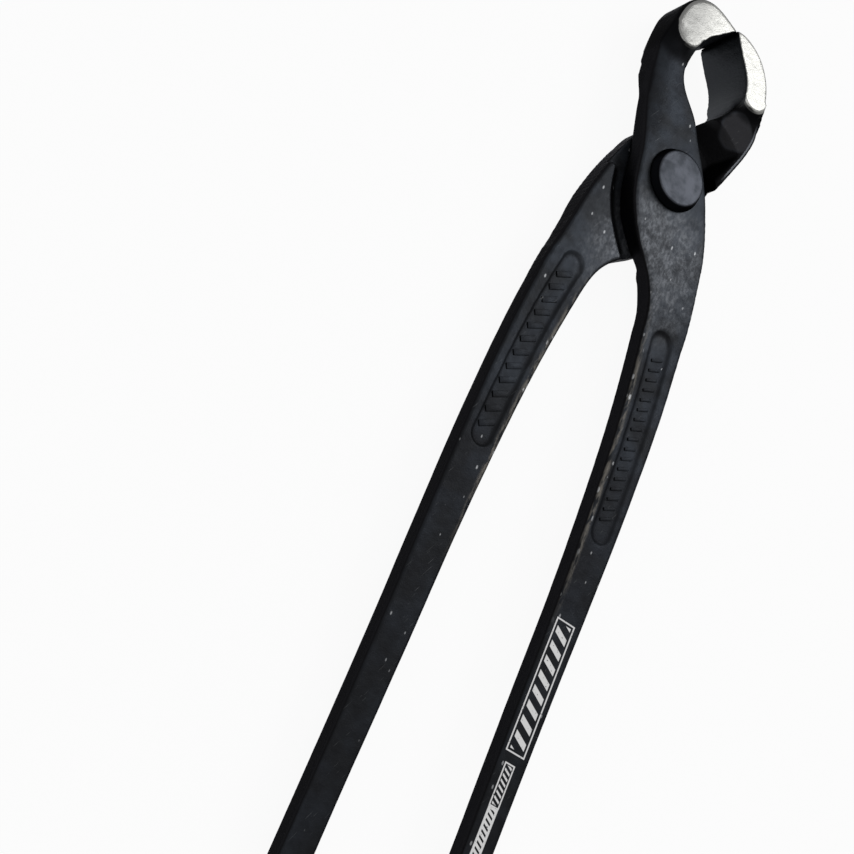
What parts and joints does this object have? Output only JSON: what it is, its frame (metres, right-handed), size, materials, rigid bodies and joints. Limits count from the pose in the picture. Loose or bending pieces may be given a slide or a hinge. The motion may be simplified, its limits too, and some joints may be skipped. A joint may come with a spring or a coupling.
{
  "type": "rebar tying pliers",
  "caption": "End-cutting nippers for twisting and cutting tie wire: crossed forged levers on a rivet, wide jaws shut edge to edge.",
  "frame": {"origin": "where the pivot axis meets the flat face of the rear rivet head, which the tool rests on", "axes": "+Z along the pivot axis to the front of the tool, +Y along the tool from the pivot to the jaws, +X to the right seen from the front"},
  "size_m": [0.0488, 0.2522, 0.0177],
  "materials": {
    "forged_black": "blue-black phosphated forging scale, satin, worn at the edges, with ground bright sides on the jaws",
    "rivet_steel": "blue-black phosphated steel, a little smoother than the levers"
  },
  "bodies": {
    "rear_half": {"rear_lever": "forged_black", "pivot_rivet": "rivet_steel"},
    "front_half": {"front_lever": "forged_black"}
  },
  "joints": [
    {"name": "lever_pivot", "type": "hinge", "parent": "rear_half", "child": "front_half", "pos_m": [0, 0, 0.00885], "axis": [0, 0, 1], "range_deg": [0, 40]}
  ]
}
